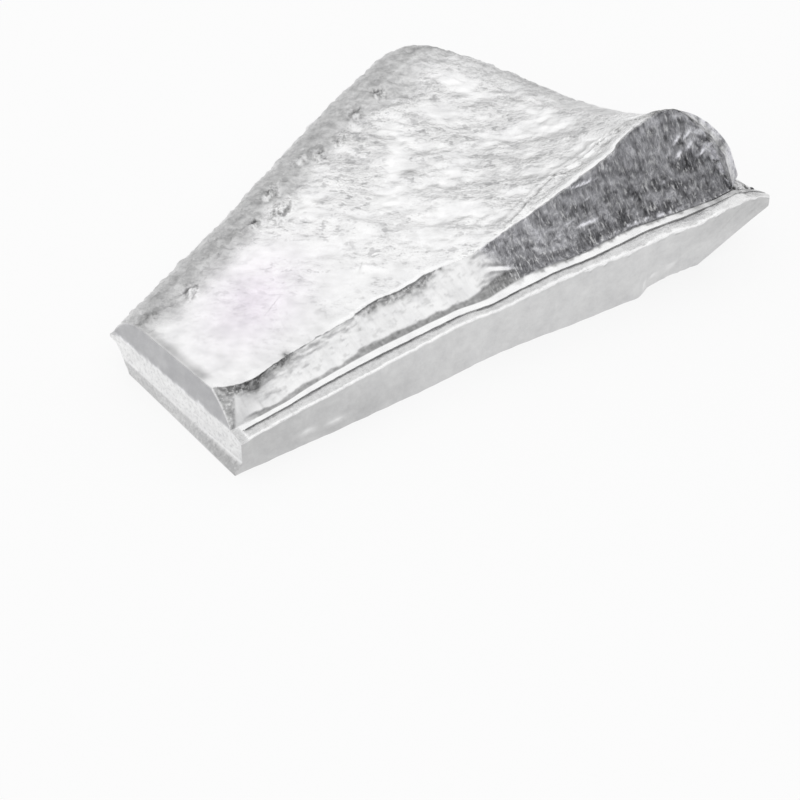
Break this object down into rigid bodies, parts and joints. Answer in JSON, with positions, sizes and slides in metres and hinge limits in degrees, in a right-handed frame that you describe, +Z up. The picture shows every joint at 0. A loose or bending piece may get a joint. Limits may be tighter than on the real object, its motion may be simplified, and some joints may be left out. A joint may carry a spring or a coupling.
{
  "type": "indium ingot",
  "caption": "Wedge-shaped slab of soft cast metal with a wrinkled cast top, one sheared hollow side with a fine double ridge and a bevelled end.",
  "frame": {"origin": "middle of the bounding box in plan, on the floor", "axes": "+X runs along the cut side from the narrow bevelled end to the pointed rear end, +Y points across to the rounded cast side, +Z up"},
  "size_m": [0.0756, 0.0468, 0.0179],
  "materials": {
    "indium": "bright silvery cast metal, wrinkled on top, smooth on the cuts"
  },
  "bodies": {
    "root": {"ingot": "indium"}
  },
  "joints": []
}
